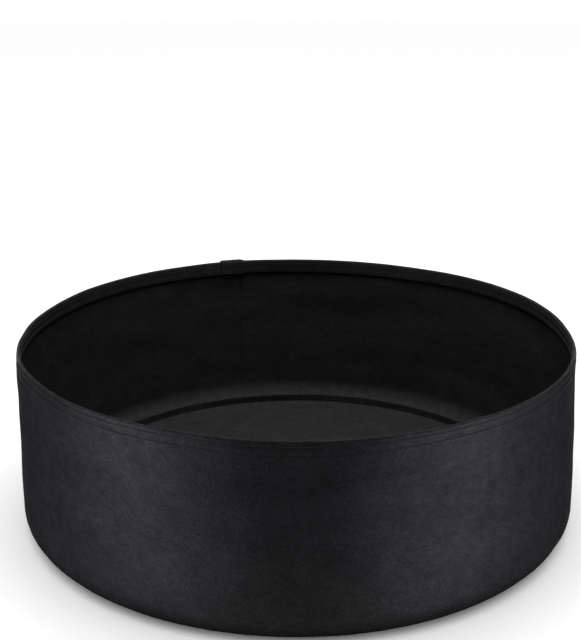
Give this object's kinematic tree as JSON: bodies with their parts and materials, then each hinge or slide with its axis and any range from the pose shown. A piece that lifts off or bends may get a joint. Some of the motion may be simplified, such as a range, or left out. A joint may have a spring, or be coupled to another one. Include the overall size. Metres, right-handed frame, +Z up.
{
  "type": "fabric grow bag",
  "caption": "Wide, low, round grow bag sewn from black felt, open at the top with a turned hem, for growing plants on a floor or patio.",
  "frame": {"origin": "centre of the base's underside, on the ground", "axes": "+Z up through the open top, -Y to the front, +Y to the back, where the wall's lapped seam is; +X to the right seen from the front"},
  "size_m": [0.918, 0.918, 0.3029],
  "materials": {
    "wall_felt": "matte black needle-punched polypropylene felt",
    "base_felt": "matte black needle-punched polypropylene felt",
    "hem_thread": "black bonded polyester sewing thread",
    "base_thread": "black bonded polyester sewing thread",
    "lap_thread": "black bonded polyester sewing thread"
  },
  "bodies": {
    "root": {"wall_panel": "wall_felt", "base_panel": "base_felt", "hem_needle_thread_1": "hem_thread", "hem_needle_thread_2": "hem_thread", "hem_bobbin_thread_1": "hem_thread", "hem_bobbin_thread_2": "hem_thread", "base_needle_thread_1": "base_thread", "base_needle_thread_2": "base_thread", "base_bobbin_thread_1": "base_thread", "base_bobbin_thread_2": "base_thread", "lap_needle_thread_1": "lap_thread", "lap_needle_thread_2": "lap_thread", "lap_bobbin_thread_1": "lap_thread", "lap_bobbin_thread_2": "lap_thread"}
  },
  "joints": []
}
